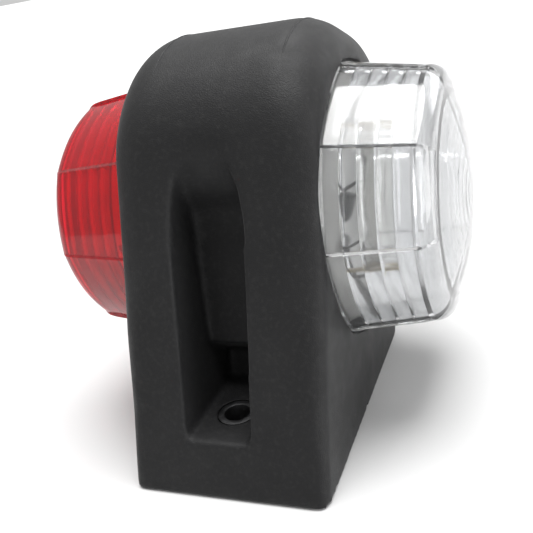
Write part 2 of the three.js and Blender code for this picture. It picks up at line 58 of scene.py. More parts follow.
# %% Upright drawing frame
MM = 0.001
LEAN = radians(19)
lens_low, lens_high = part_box("clear_lens")
lamp_centre = (lens_low + lens_high) / 2
LAY_DOWN = Matrix.Translation((0, lamp_centre.y, lamp_centre.z)) @ Matrix.Rotation(-LEAN, 4, "X")
body_low, body_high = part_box("rubber_body")
HALF_THICK = body_high.x / MM
HALF_DEPTH = -body_low.y / MM * cos(LEAN)
FOOT_DROP = (lamp_centre.z / MM + HALF_DEPTH * sin(LEAN)) / cos(LEAN)
print("half thickness", round(HALF_THICK, 2), "half depth", round(HALF_DEPTH, 2),
      "foot", round(-FOOT_DROP, 2))

# %% [markdown]
# ## Camera
# The lamp is seen from the front, a little to the clear side and slightly from above, with a small tilt of
# the camera. The view is set by angles in the lamp's frame, so that it follows the lamp.

# %% Camera
EYE = Vector((75.08, -184.66, 3.08))
TURN, DIP, ROLL = radians(22.73), radians(6.01), radians(3.2)
FOCAL_LENGTH = 48.37
forward = Vector((-sin(TURN) * cos(DIP), cos(TURN) * cos(DIP), -sin(DIP)))
level_right = Vector((cos(TURN), sin(TURN), 0))
level_up = level_right.cross(forward)
right = cos(ROLL) * level_right - sin(ROLL) * level_up
up = sin(ROLL) * level_right + cos(ROLL) * level_up
aim = Matrix((right, up, -forward)).transposed().to_4x4()
camera = bpy.data.objects.new("camera", bpy.data.cameras.new("camera"))
camera.data.lens = FOCAL_LENGTH
camera.data.clip_start = 0.01
camera.matrix_world = LAY_DOWN @ Matrix.Translation(EYE * MM) @ aim
bpy.context.scene.collection.objects.link(camera)
bpy.context.scene.camera = camera
print("camera at", tuple(round(v, 3) for v in camera.matrix_world.translation))

# %% [markdown]
# ## Hand tools
# An operator acts on everything that is selected, so each step first clears the selection. These few
# helpers are the moves made by hand all the time: take a piece, open it, pick edges by place, close it.

# %% Hand tools
def take(piece):
    bpy.ops.object.select_all(action="DESELECT")
    piece.select_set(True)
    bpy.context.view_layer.objects.active = piece
    return piece


def open_piece(piece):
    take(piece)
    bpy.ops.object.mode_set(mode="EDIT")


def close_piece():
    bpy.ops.object.mode_set(mode="OBJECT")


def pick_vertices(piece, rule):
    """Selects the vertices whose place passes the rule, with the piece open."""
    bpy.ops.mesh.select_mode(type="VERT")
    bpy.ops.mesh.select_all(action="DESELECT")
    mesh = bmesh.from_edit_mesh(piece.data)
    for vertex in mesh.verts:
        vertex.select = rule(vertex.co)
    mesh.select_flush_mode()
    bmesh.update_edit_mesh(piece.data)


def move_vertices(piece, place_of):
    """Moves every vertex: place_of takes and gives an array of places, one row each."""
    count = len(piece.data.vertices)
    places = np.empty(count * 3)
    piece.data.vertices.foreach_get("co", places)
    moved = place_of(places.reshape(count, 3))
    piece.data.vertices.foreach_set("co", np.ascontiguousarray(moved, dtype=float).ravel())
    piece.data.update()
    return piece


def run_modifier(piece, kind, **settings):
    take(piece)
    modifier = piece.modifiers.new(kind.lower(), kind)
    for setting, value in settings.items():
        setattr(modifier, setting, value)
    bpy.ops.object.modifier_apply(modifier=modifier.name)
    return piece


def carve(piece, cutter, operation="DIFFERENCE"):
    """Cuts, joins or intersects a piece with a second one, which is used up."""
    run_modifier(piece, "BOOLEAN", object=cutter, operation=operation, solver="EXACT")
    bpy.data.objects.remove(cutter)
    return piece


def smooth(piece, angle=35):
    take(piece)
    bpy.ops.object.shade_smooth_by_angle(angle=radians(angle))
    return piece


def lay(piece):
    """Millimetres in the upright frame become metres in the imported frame, inside the mesh."""
    piece.data.transform(LAY_DOWN @ Matrix.Scale(MM, 4))
    return piece


def fit_in(piece, body, slot, finish, *nodes):
    """Gives a finished piece its body and material, and hides the plain nodes it stands for; slot is not
    used.
    """
    piece.data.materials.clear()
    piece.data.materials.append(finish)
    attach(piece, body)
    if nodes:
        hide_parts(*nodes)
    triangles = sum(len(face.vertices) - 2 for face in piece.data.polygons)
    print(piece.name, triangles, "triangles")
    return piece


# %% [markdown]
# ## Drawn and spun pieces
# Lenses, bulbs, caps and bushes are turned shapes. They could be stacked from cylinders, but one profile
# spun about its axis gives clean walls and true thickness. A ring of vertices is bent onto the profile
# and spun. A profile that starts and ends on the axis is opened there first, so that no edge stays inside.

# %% Spin a profile
def flat_loop(name, points, filled=False):
    """A closed loop of (x, y) points in the drawing plane, from a ring of as many vertices."""
    fill = "NGON" if filled else "NOTHING"
    bpy.ops.object.select_all(action="DESELECT")
    bpy.ops.mesh.primitive_circle_add(vertices=len(points), radius=1, fill_type=fill)
    piece = bpy.context.object
    piece.name = name
    return move_vertices(piece, lambda _: np.array([(x, y, 0) for x, y in points]))


def spun(name, profile, steps, axis=(1, 0, 0)):
    """Profile points are (distance along the axis, radius); the axis is X or Z."""
    along_z = axis[2] == 1
    piece = flat_loop(name, profile)
    if along_z:
        move_vertices(piece, lambda p: np.stack([p[:, 1], p[:, 2], p[:, 0]], axis=1))
    on_axis = profile[0][1] == 0 and profile[-1][1] == 0
    open_piece(piece)
    if on_axis:
        pick_vertices(piece, lambda co: abs(co.x if along_z else co.y) < 1e-7)
        bpy.ops.mesh.delete(type="EDGE_FACE")
    bpy.ops.mesh.select_all(action="SELECT")
    bpy.ops.mesh.spin(steps=steps, angle=2 * pi, center=(0, 0, 0), axis=axis)
    bpy.ops.mesh.select_all(action="SELECT")
    bpy.ops.mesh.remove_doubles(threshold=1e-4)
    bpy.ops.mesh.normals_make_consistent(inside=False)
    close_piece()
    return piece


def arc(centre, radii, start, stop, count):
    """Points of an elliptical arc, angles in degrees."""
    angles = np.radians(np.linspace(start, stop, count))
    return [(centre[0] + radii[0] * cos(a), centre[1] + radii[1] * sin(a)) for a in angles]


def prism(name, points, first, last, lay_points):
    """A filled outline pushed through from one depth to another; lay_points turns it into place."""
    piece = flat_loop(name, points, filled=True)
    open_piece(piece)
    bpy.ops.mesh.select_all(action="SELECT")
    bpy.ops.transform.translate(value=(0, 0, first))
    bpy.ops.mesh.extrude_region_move(TRANSFORM_OT_translate={"value": (0, 0, last - first)})
    close_piece()
    move_vertices(piece, lay_points)
    open_piece(piece)
    bpy.ops.mesh.select_all(action="SELECT")
    bpy.ops.mesh.normals_make_consistent(inside=False)
    close_piece()
    return piece


# %% [markdown]
# ## The eight-sided lens outline
# The lenses are not round: they have eight softly bulged facets. Drawing eight corners by hand would have
# to be repeated on the lens, its flange, the pocket, the gasket and the carrier. So all of these are spun
# round first, and one rule then draws every ring in between its corners.

# %% Eight-sided rule
FACET_MID = 0.963
EIGHTH = pi / 8


def facet_ratio(angle, middle=FACET_MID):
    offset = np.mod(angle + EIGHTH, 2 * EIGHTH) - EIGHTH
    chord = cos(EIGHTH) / np.cos(offset)
    return chord + (middle - cos(EIGHTH)) * (1 - (offset / EIGHTH) ** 2)


def eight_sided(places, middle=FACET_MID):
    angle = np.arctan2(places[:, 2], places[:, 1])
    ratio = facet_ratio(angle, middle)
    return places * np.stack([np.ones_like(ratio), ratio, ratio], axis=1)


print("facet middle", round(float(facet_ratio(0.0)), 3), "corner", round(float(facet_ratio(EIGHTH)), 3))

# %% [markdown]
# ## Finishes
# Every finish is built from noise in the piece's own coordinates: one slow noise for colour, one
# middling noise for roughness and one fine noise for the grain that the light catches. Pictures would be
# the other way, but noise has no seams and keeps its size on every piece.

# %% Material tools
def finish_named(name):
    material = bpy.data.materials.new(name)
    material.use_nodes = True
    return material, material.node_tree.nodes["Principled BSDF"]


def node(material, kind, **values):
    made = material.node_tree.nodes.new(kind)
    for socket, value in values.items():
        made.inputs[socket.replace("_", " ")].default_value = value
    return made


def join(material, source, target):
    material.node_tree.links.new(source, target)


def noise(material, scale, detail=3, stretch=(1, 1, 1)):
    """Noise with features about 1 / scale metres wide, in the piece's own coordinates."""
    place = node(material, "ShaderNodeTexCoord")
    mapping = node(material, "ShaderNodeMapping", Scale=stretch)
    made = node(material, "ShaderNodeTexNoise", Scale=scale, Detail=detail)
    join(material, place.outputs["Object"], mapping.inputs["Vector"])
    join(material, mapping.outputs["Vector"], made.inputs["Vector"])
    return made.outputs["Fac"]


def spread(material, value, low, high, from_low=0.3, from_high=0.7):
    made = node(material, "ShaderNodeMapRange", From_Min=from_low, From_Max=from_high,
                To_Min=low, To_Max=high)
    join(material, value, made.inputs["Value"])
    return made.outputs["Result"]


def mixed(material, factor, first, second):
    made = material.node_tree.nodes.new("ShaderNodeMix")
    made.data_type = "RGBA"
    for socket, value in ((made.inputs[6], first), (made.inputs[7], second)):
        if hasattr(value, "links"):
            join(material, value, socket)
        else:
            socket.default_value = (*value, 1)
    join(material, factor, made.inputs[0])
    return made.outputs[2]


def bumped(material, shader, height, distance, strength=1.0):
    bump = node(material, "ShaderNodeBump", Strength=strength, Distance=distance)
    join(material, height, bump.inputs["Height"])
    join(material, bump.outputs["Normal"], shader.inputs["Normal"])


def plain_finish(name, light, dark, blotch, roughness, grain, depth, metallic=0.0, stretch=(1, 1, 1)):
    """The common recipe: two close colours in slow blotches, a roughness range and a fine grain."""
    material, shader = finish_named(name)
    shader.inputs["Metallic"].default_value = metallic
    colour = mixed(material, spread(material, noise(material, blotch), 0, 1), light, dark)
    join(material, colour, shader.inputs["Base Color"])
    rough = spread(material, noise(material, blotch * 3, stretch=stretch), *roughness)
    join(material, rough, shader.inputs["Roughness"])
    bumped(material, shader, noise(material, grain, stretch=stretch), depth)
    return material, shader


# %% [markdown]
# ## Moulded rubber
# Marker lamps are moulded in black rubber with a dull, faintly pebbled skin. It is never quite black:
# handled areas shine a little and dust dulls others. A fine grain breaks up the highlight, and a faint
# grey bloom lies on it in small flecks. A little sheen greys it where it turns away from the eye.

# %% Rubber finish
def rubber_finish():
    material, shader = plain_finish("moulded_rubber", (0.009, 0.009, 0.0095), (0.006, 0.006, 0.0065), 60,
                                    (0.52, 0.64), 3400, 0.0001)
    bloom = spread(material, noise(material, 900, 5), 0, 0.3, 0.5, 0.8)
    base = shader.inputs["Base Color"].links[0].from_socket
    join(material, mixed(material, bloom, base, (0.034, 0.034, 0.033)), shader.inputs["Base Color"])
    shader.inputs["Specular IOR Level"].default_value = 0.26
    shader.inputs["Sheen Weight"].default_value = 0.07
    shader.inputs["Sheen Roughness"].default_value = 0.35
    return material


moulded_rubber = rubber_finish()
soft_black, _ = plain_finish("soft_black_rubber", (0.05, 0.05, 0.051), (0.03, 0.03, 0.031), 90,
                             (0.6, 0.8), 3000, 0.0001)
print("rubber finishes made")

# %% [markdown]
# ## The rubber body
# The stem and head are one moulding: a slab with a rounded crest, cut square across by the mounting face.
# Its side edges are rounded widely beside the lenses and tightly at the foot, so one bevel would not do.
# Instead the side outline is pushed across in slices, and each slice is drawn in by the edge rounding
# that belongs to that height.

# %% Side outline
POCKET_RADIUS = 36.9
HEAD_WALL = 10.4
ROUND_DEPTH = 34
ROUND_HEIGHT = 32.5
crest = POCKET_RADIUS * FACET_MID + HEAD_WALL
BELOW_FOOT = 14
outline_bottom = -FOOT_DROP - BELOW_FOOT


def side_outline(count):
    """Points (y, z) at even steps round the side outline, and the inward direction at each."""
    d, side, low = HALF_DEPTH, HALF_DEPTH - ROUND_DEPTH, crest - ROUND_HEIGHT
    path = np.concatenate([
        [(-d, outline_bottom), (d, outline_bottom)],
        arc((side, low), (ROUND_DEPTH, ROUND_HEIGHT), 0, 90, 40),
        arc((-side, low), (ROUND_DEPTH, ROUND_HEIGHT), 90, 180, 40),
        [(-d, outline_bottom)]])
    run = np.concatenate([[0], np.cumsum(np.linalg.norm(np.diff(path, axis=0), axis=1))])
    steps = np.linspace(0, run[-1], count, endpoint=False)
    points = np.stack([np.interp(steps, run, path[:, i]) for i in (0, 1)], axis=1)
    along = np.roll(points, -1, axis=0) - np.roll(points, 1, axis=0)
    inward = np.stack([-along[:, 1], along[:, 0]], axis=1)
    return points, inward / np.linalg.norm(inward, axis=1)[:, None]


outline_points, outline_inward = side_outline(260)
print("outline runs from", outline_points.min(0).round(1), "to", outline_points.max(0).round(1))

# %% [markdown]
# The edge rounding is a quarter ellipse. Its two half axes change with height: the values below are the
# heights in the lamp and the rounding measured across the lamp and in the side face.

# %% Slices drawn in at the edges
EDGE_HEIGHTS = (-66, -60, -48, -30, -20, 12, 30, 44)
EDGE_ACROSS = (3.2, 3.4, 4.6, 5.8, 10.5, 10.5, 11.5, 12.0)
EDGE_IN_PLANE = (2.6, 2.8, 3.5, 3.8, 4.4, 4.8, 8.0, 9.6)
FOOT_TAPER = 0.8
TAPER_HEIGHTS = (-50, -20)
SLICES = 36


def slice_places(places):
    turn = np.mod(np.arctan2(places[:, 1], places[:, 0]), 2 * pi)
    ray = np.rint(turn / (2 * pi) * len(outline_points)).astype(int) % len(outline_points)
    share = np.clip(places[:, 2] / SLICES, -1, 1)
    point = outline_points[ray]
    half = HALF_THICK - np.interp(point[:, 1], TAPER_HEIGHTS, (FOOT_TAPER, 0))
    x = half * np.sin(share * pi / 2)
    across = np.interp(point[:, 1], EDGE_HEIGHTS, EDGE_ACROSS)
    in_plane = np.interp(point[:, 1], EDGE_HEIGHTS, EDGE_IN_PLANE)
    over = np.clip((np.abs(x) - (half - across)) / across, 0, 1)
    drawn_in = in_plane * (1 - np.sqrt(1 - over ** 2))
    yz = point + outline_inward[ray] * drawn_in[:, None]
    return np.column_stack([x, yz])


bpy.ops.object.select_all(action="DESELECT")
bpy.ops.mesh.primitive_circle_add(vertices=len(outline_points), radius=1, fill_type="NGON")
rubber = bpy.context.object
rubber.name = "rubber_moulding"
open_piece(rubber)
bpy.ops.mesh.select_all(action="SELECT")
bpy.ops.transform.translate(value=(0, 0, -SLICES))
for _ in range(SLICES):
    bpy.ops.mesh.extrude_region_move(TRANSFORM_OT_translate={"value": (0, 0, 2)})
close_piece()
first_turn = atan2(rubber.data.vertices[0].co.y, rubber.data.vertices[0].co.x)
move_vertices(rubber, lambda p: np.column_stack([
    p[:, 0] * cos(-first_turn) - p[:, 1] * sin(-first_turn),
    p[:, 0] * sin(-first_turn) + p[:, 1] * cos(-first_turn), p[:, 2]]))
move_vertices(rubber, slice_places)
open_piece(rubber)
bpy.ops.mesh.select_all(action="SELECT")
bpy.ops.mesh.normals_make_consistent(inside=False)
bpy.ops.mesh.bisect(plane_co=(0, -HALF_DEPTH, -FOOT_DROP), plane_no=(0, sin(LEAN), -cos(LEAN)),
                    use_fill=True, clear_outer=True)
close_piece()
print("body blank", len(rubber.data.vertices), "vertices")

# %% [markdown]
# ## Pockets, scoop and holes
# The moulding is hollow where the lenses sit, open between them for the wires, and scooped out in front
# so that a screwdriver reaches the front screw. Each of these is a solid cutter taken out with a boolean.
# The scoop is where two outlines cross: its floor seen from the side, and its sides seen from the front.

# %% Cut the scoop
def quadratic(start, handle, stop, count):
    shares = np.linspace(0, 1, count)[:, None]
    start, handle, stop = (np.array(p, float) for p in (start, handle, stop))
    return (1 - shares) ** 2 * start + 2 * shares * (1 - shares) * handle + shares ** 2 * stop


OVERRUN = 6
SCOOP_CENTRE = -1.2
LEDGE = 13
ledge_z = -FOOT_DROP + LEDGE / cos(LEAN)
PIT_DEPTH = 27
PIT_BACK_HEIGHT = 7.9
SCOOP_TOP = 17
FADE_END = (9, 1)
SLOPE_END = (13.4, -10)
PIT_BROW = (16.4, -35)
SIDE_BEND = (9.4, -12)
SIDE_FOOT = 8.2
pit_back_z = ledge_z + PIT_DEPTH * sin(LEAN) / cos(LEAN)
scoop_side = [(-HALF_DEPTH - OVERRUN, 34), (-HALF_DEPTH + 0.2, SCOOP_TOP)]
scoop_side += [(-HALF_DEPTH + y, z) for y, z in quadratic((0.2, SCOOP_TOP), (1.5, 6), FADE_END, 10)[1:]]
scoop_side += [(-HALF_DEPTH + y, z) for y, z in quadratic(FADE_END, (12.8, -2), SLOPE_END, 8)[1:]]
scoop_side += [(-HALF_DEPTH + PIT_BROW[0], PIT_BROW[1]),
               (-HALF_DEPTH + PIT_DEPTH, pit_back_z + PIT_BACK_HEIGHT),
               (-HALF_DEPTH + PIT_DEPTH, pit_back_z),
               (-HALF_DEPTH - OVERRUN, ledge_z - OVERRUN * sin(LEAN) / cos(LEAN))]
scoop_front = [(SIDE_FOOT, -FOOT_DROP), SIDE_BEND]
scoop_front += [tuple(p) for p in quadratic(SIDE_BEND, (9.6, 12), (1, SCOOP_TOP + 0.5), 12)[1:]]
scoop_front += [(-x, z) for x, z in reversed(scoop_front)]
scoop = prism("scoop", scoop_side, -HALF_THICK, HALF_THICK,
              lambda p: np.column_stack([p[:, 2], p[:, 0], p[:, 1]]))
sides = prism("sides", [(SCOOP_CENTRE + x, z) for x, z in scoop_front], -HALF_DEPTH - 2 * OVERRUN, 0,
              lambda p: np.column_stack([p[:, 0], p[:, 2], p[:, 1]]))
carve(scoop, sides, "INTERSECT")
carve(rubber, scoop)
print("scoop cut", len(rubber.data.polygons), "faces")

# %% [markdown]
# ## Soft moulded edges
# The outer edges of a rubber moulding are soft. Bevels fail where the scoop meets the rounded front, so the
# body is turned into fine even cells and rubbed smooth. The top of the scoop is rubbed much longer, because
# there it fades into the front face. Pockets and holes are cut after this, since their edges are crisp.

# %% Even cells, rubbed smooth
CELL = 0.85
ALL_OVER, AT_TOP = 4, 30
run_modifier(rubber, "REMESH", mode="VOXEL", voxel_size=CELL, adaptivity=0.0)
run_modifier(rubber, "SMOOTH", factor=0.5, iterations=ALL_OVER)


def smooth_where(piece, rule, iterations):
    group = piece.vertex_groups.new(name="rub")
    group.add([v.index for v in piece.data.vertices if rule(v.co)], 1.0, "REPLACE")
    run_modifier(piece, "SMOOTH", factor=0.5, iterations=iterations, vertex_group="rub")
    piece.vertex_groups.clear()


def at_scoop_top(co):
    return co.z > -9 and co.y < -22 and abs(co.x - SCOOP_CENTRE) < 15 and co.z < 24


smooth_where(rubber, at_scoop_top, AT_TOP)
take(rubber)
bpy.ops.object.shade_smooth()
print("moulded body", len(rubber.data.polygons), "faces")

# %% Cut the lens pockets
CARRIER_POCKET = 32.7
RUBBER_RIM = 36.2
FLANGE_MID = 0.977
CARRIER_FLOOR = 19.5
GASKET_STEP = 21.3
CORE_RADIUS = 17
CORE_HALF = 22


def pocket_cutter(radius, inner, side, middle):
    cutter = spun("pocket", [(inner, 0), (inner, radius), (HALF_THICK + OVERRUN, radius),
                             (HALF_THICK + OVERRUN, 0)], 160)
    move_vertices(cutter, lambda p: eight_sided(p, middle) * (side, 1, side))
    return cutter


for side in (1, -1):
    carve(rubber, pocket_cutter(CARRIER_POCKET, CARRIER_FLOOR, side, FACET_MID))
    carve(rubber, pocket_cutter(RUBBER_RIM, GASKET_STEP, side, FLANGE_MID))
core = spun("core", [(-CORE_HALF, 0), (-CORE_HALF, CORE_RADIUS), (CORE_HALF, CORE_RADIUS),
                     (CORE_HALF, 0)], 48)
carve(rubber, core)
print("pockets cut", len(rubber.data.polygons), "faces")

# %% [markdown]
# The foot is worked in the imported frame, where it is flat: a recess for the steel plate, the screw
# sleeve, the nut, the cable inlet and a round drain groove across the border.

# %% Cut the foot
lay(rubber)
GAP = 0.3
PASSAGE_RADIUS = 4.7
DRAIN_RADIUS = 1.4
DRAIN_Y = -1.5


def node_cutter(name, node_name, up_to=0.0, sides=48):
    """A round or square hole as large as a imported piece, with its gap, and open below."""
    low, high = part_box(node_name)
    centre, half = (low + high) / 2, (high - low) / 2
    top = max(high.z + GAP * MM, up_to)
    bpy.ops.object.select_all(action="DESELECT")
    if sides == 4:
        bpy.ops.mesh.primitive_cube_add(size=2)
    else:
        bpy.ops.mesh.primitive_cylinder_add(vertices=sides, radius=1, depth=2)
    cutter = bpy.context.object
    size = (half.x + GAP * MM, half.y + GAP * MM, (top + MM) / 2)
    middle = (centre.x, centre.y, (top - MM) / 2)
    return move_vertices(cutter, lambda p: p * size + middle)


inlet_top = lamp_centre.z - CORE_RADIUS * MM / 2
carve(rubber, node_cutter("plate_recess", "base_plate", sides=4))
carve(rubber, node_cutter("sleeve_hole", "fixing_sleeve", up_to=(LEDGE + 1) * MM))
carve(rubber, node_cutter("nut_hole", "rear_nut"))
carve(rubber, node_cutter("inlet", "cable_grommet"))
bpy.ops.object.select_all(action="DESELECT")
bpy.ops.mesh.primitive_cylinder_add(vertices=24, radius=1, depth=2)
passage = bpy.context.object
inlet_low, inlet_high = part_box("cable_grommet")
inlet_y = (inlet_low.y + inlet_high.y) / 2
passage_size = (PASSAGE_RADIUS * MM, PASSAGE_RADIUS * MM, inlet_top / 2)
move_vertices(passage, lambda p: p * passage_size + (0, inlet_y, inlet_top / 2))
carve(rubber, passage)
bpy.ops.object.select_all(action="DESELECT")
bpy.ops.mesh.primitive_cylinder_add(vertices=24, radius=DRAIN_RADIUS * MM, depth=4 * HALF_THICK * MM,
                                    location=(0, DRAIN_Y * MM, 0), rotation=(0, pi / 2, 0))
carve(rubber, bpy.context.object)
print("foot cut", len(rubber.data.polygons), "faces")

# %% [markdown]
# Where the halves of the mould met, two hair-thin ridges run over the head. Each is a thin tube, half sunk
# in the skin, that sinks out of sight at its ends.

# %% Parting ridges
RIDGE_PLACES = (17.4, -15.6)
RIDGE_END = 26
RIDGE_RADIUS = 0.34
RIDGE_SIDES = 8
SUNK_SHARE, END_DIVE, END_STEPS = 0.55, 1.2, 8


def parting_ridge(place):
    """A thin tube, half sunk, that follows the side outline over the head."""
    over_head = [i for i in range(len(outline_points)) if outline_points[i][1] > RIDGE_END]
    across = np.interp(outline_points[over_head][:, 1], EDGE_HEIGHTS, EDGE_ACROSS)
    in_plane = np.interp(outline_points[over_head][:, 1], EDGE_HEIGHTS, EDGE_IN_PLANE)
    over = np.clip((abs(place) - (HALF_THICK - across)) / across, 0, 1)
    ends = np.minimum(np.arange(len(over_head)), np.arange(len(over_head))[::-1])
    sinking = RIDGE_RADIUS * (SUNK_SHARE + END_DIVE * np.clip(1 - ends / END_STEPS, 0, 1))
    sunk = in_plane * (1 - np.sqrt(1 - over ** 2)) + sinking
    middle = outline_points[over_head] + outline_inward[over_head] * sunk[:, None]
    bpy.ops.object.select_all(action="DESELECT")
    bpy.ops.mesh.primitive_cylinder_add(vertices=RIDGE_SIDES, radius=1, depth=len(over_head) - 1)
    ridge = bpy.context.object
    open_piece(ridge)
    for cut in range(1, len(over_head) - 1):
        bpy.ops.mesh.select_all(action="SELECT")
        bpy.ops.mesh.bisect(plane_co=(0, 0, cut - (len(over_head) - 1) / 2), plane_no=(0, 0, 1))
    close_piece()

    def follow(p):
        step = np.clip(np.rint(p[:, 2] + (len(over_head) - 1) / 2).astype(int), 0, len(over_head) - 1)
        inward = outline_inward[over_head][step]
        yz = middle[step] - inward * (p[:, 0] * RIDGE_RADIUS)[:, None]
        return np.column_stack([place + p[:, 1] * RIDGE_RADIUS, yz])
    move_vertices(ridge, follow)
    open_piece(ridge)
    bpy.ops.mesh.select_all(action="SELECT")
    bpy.ops.mesh.normals_make_consistent(inside=False)
    close_piece()
    take(ridge)
    bpy.ops.object.shade_smooth()
    return lay(ridge)


ridges = [parting_ridge(place) for place in RIDGE_PLACES]
take(rubber)
for ridge in ridges:
    ridge.select_set(True)
bpy.context.view_layer.objects.active = rubber
bpy.ops.object.join()
fit_in(rubber, "base", "rubber", moulded_rubber, "rubber_body")

# %% [markdown]
# ## Lens plastic
# The lenses are polished acrylic. Clear acrylic lets nearly all light through and bends it, so the rings
# inside show as bright and dark lines. A little grey in it keeps a bright room from washing it out. The
# red lens is dyed through: light that crosses it comes out deep red.

# %% Lens finishes
def lens_finish(name, tint, deep, clearness, smoothness):
    material, shader = finish_named(name)
    shader.inputs["Transmission Weight"].default_value = clearness
    shader.inputs["IOR"].default_value = 1.49
    colour = mixed(material, spread(material, noise(material, 60), 0, 1), tint, deep)
    join(material, colour, shader.inputs["Base Color"])
    join(material, spread(material, noise(material, 150, 4), *smoothness), shader.inputs["Roughness"])
    bumped(material, shader, noise(material, 120, 1), 0.0003, 0.35)
    return material


clear_acrylic = lens_finish("clear_acrylic", (0.76, 0.765, 0.77), (0.66, 0.67, 0.68), 0.96, (0.05, 0.14))
red_acrylic = lens_finish("red_acrylic", (0.84, 0.01, 0.03), (0.66, 0.004, 0.015), 0.8, (0.05, 0.14))
print("lens finishes made")

# %% [markdown]
# ## The lenses
# A lens is one moulding: a flange that sits in the rubber, a wall with five steps on its inside, a round
# shoulder and a shallow dome with fine rings inside. The profile is spun, drawn in to eight sides, and each
# corner is raised to a thin rib that runs up the wall and dies out on the shoulder.

# %% Lens profile
FLANGE = 36.0
LENS_RADIUS = 35.3
TOP_RADIUS = 32.6
SEAT_X = 22.9
BASE_X = 26.0
SHOULDER_X = 45.1
DOME_X = 50.0
DOME_RISE = 4.2
RIM_RADIUS = 27.2
WALL = 2.0
STEP_FIRST = 29.6
STEP_PITCH = 3.85
STEP_DEPTH = 0.95
DOME_RINGS = 8


def wall_radius(x):
    return LENS_RADIUS + (TOP_RADIUS - LENS_RADIUS) * (x - BASE_X) / (SHOULDER_X - BASE_X)


def lens_profile():
    dome = [(DOME_X + DOME_RISE * (1 - s ** 2), RIM_RADIUS * s) for s in np.linspace(0, 1, 12)]
    shoulder = arc((SHOULDER_X, RIM_RADIUS), (DOME_X - SHOULDER_X, TOP_RADIUS - RIM_RADIUS), 0, 90, 10)
    wall = [(x, wall_radius(x)) for x in np.linspace(SHOULDER_X, BASE_X + 0.4, 14)[1:]]
    flange = [(BASE_X, LENS_RADIUS + 0.4), (BASE_X, FLANGE - 0.4), (BASE_X - 0.4, FLANGE),
              (SEAT_X + 0.3, FLANGE), (SEAT_X, FLANGE - 0.3)]
    inner_wall = [(SEAT_X, LENS_RADIUS - WALL)]
    for k in range(5):
        x = STEP_FIRST + k * STEP_PITCH
        inner_wall += [(x - 0.25, wall_radius(x) - WALL), (x, wall_radius(x) - WALL + STEP_DEPTH),
                       (x + 0.9, wall_radius(x) - WALL + 0.12)]
    inner_shoulder = arc((SHOULDER_X - 0.3, RIM_RADIUS - WALL), (DOME_X - SHOULDER_X - WALL + 0.6,
                         TOP_RADIUS - RIM_RADIUS), 90, 0, 8)[1:]
    inner_dome = []
    for s in np.linspace(1, 0, DOME_RINGS * 4 + 1)[1:]:
        ripple = 0.06 * (0.5 - 0.5 * cos(2 * pi * DOME_RINGS * s))
        inner_dome.append((DOME_X - WALL + DOME_RISE * (1 - s ** 2) + ripple, (RIM_RADIUS - WALL) * s))
    return dome + shoulder[1:] + wall + flange + inner_wall + inner_shoulder + inner_dome


print("lens profile", len(lens_profile()), "points")

# %% Spin and shape the lenses
RIB_HEIGHT = 0.7
FACET_SHIFT = radians(3.5)
RIB_END = 49.0
RIB_FADE = 4.5
SKIN_DEPTH = 0.9
LENS_COLUMNS = 192
BULGE_PLACES = (BASE_X, BASE_X + 3, SHOULDER_X, DOME_X)
BULGE_RATIOS = (FLANGE_MID, 0.979, 0.974, 0.988)


def shape_lens(places):
    """Columns crowd at the corners, the outer wall is raised there, and all is drawn in between."""
    angle = np.arctan2(places[:, 2], places[:, 1])
    radius = np.hypot(places[:, 1], places[:, 2])
    corner = np.rint((angle - EIGHTH) / (2 * EIGHTH)) * 2 * EIGHTH + EIGHTH
    middle = corner - EIGHTH * np.where(angle < corner, 1, -1)
    share = np.clip((angle - middle) / EIGHTH, -1, 1)
    share = np.sin(share * pi / 2)
    angle = middle + share * EIGHTH
    x = places[:, 0]
    skin = np.interp(x, (BASE_X, SHOULDER_X, DOME_X), (LENS_RADIUS, TOP_RADIUS, RIM_RADIUS))
    outside = radius > skin - SKIN_DEPTH
    on_wall = (x > BASE_X + 0.1) & (x < RIB_END) & outside
    fade = np.clip((RIB_END - x) / RIB_FADE, 0, 1)
    ridge = np.clip(1.15 - (1 - np.abs(share)) * 42, 0, 1)
    radius = radius + RIB_HEIGHT * ridge * fade * on_wall
    middle_ratio = np.interp(x, BULGE_PLACES, BULGE_RATIOS)
    ratio = facet_ratio(angle, middle_ratio)
    angle = angle - FACET_SHIFT * np.sin(2 * angle)
    return np.column_stack([x, radius * np.cos(angle) * ratio, radius * np.sin(angle) * ratio])


def make_lens(word, side, finish):
    lens = spun(f"{word}_lens_moulding", lens_profile(), LENS_COLUMNS)
    move_vertices(lens, lambda p: shape_lens(p) * (side, 1, side))
    smooth(lens, 30)
    return fit_in(lay(lens), f"{word}_lens", f"{word}_plastic", finish, f"{word}_lens")


SIDES = (("clear", 1), ("red", -1))
for (word, side), finish in zip(SIDES, (clear_acrylic, red_acrylic)):
    make_lens(word, side, finish)
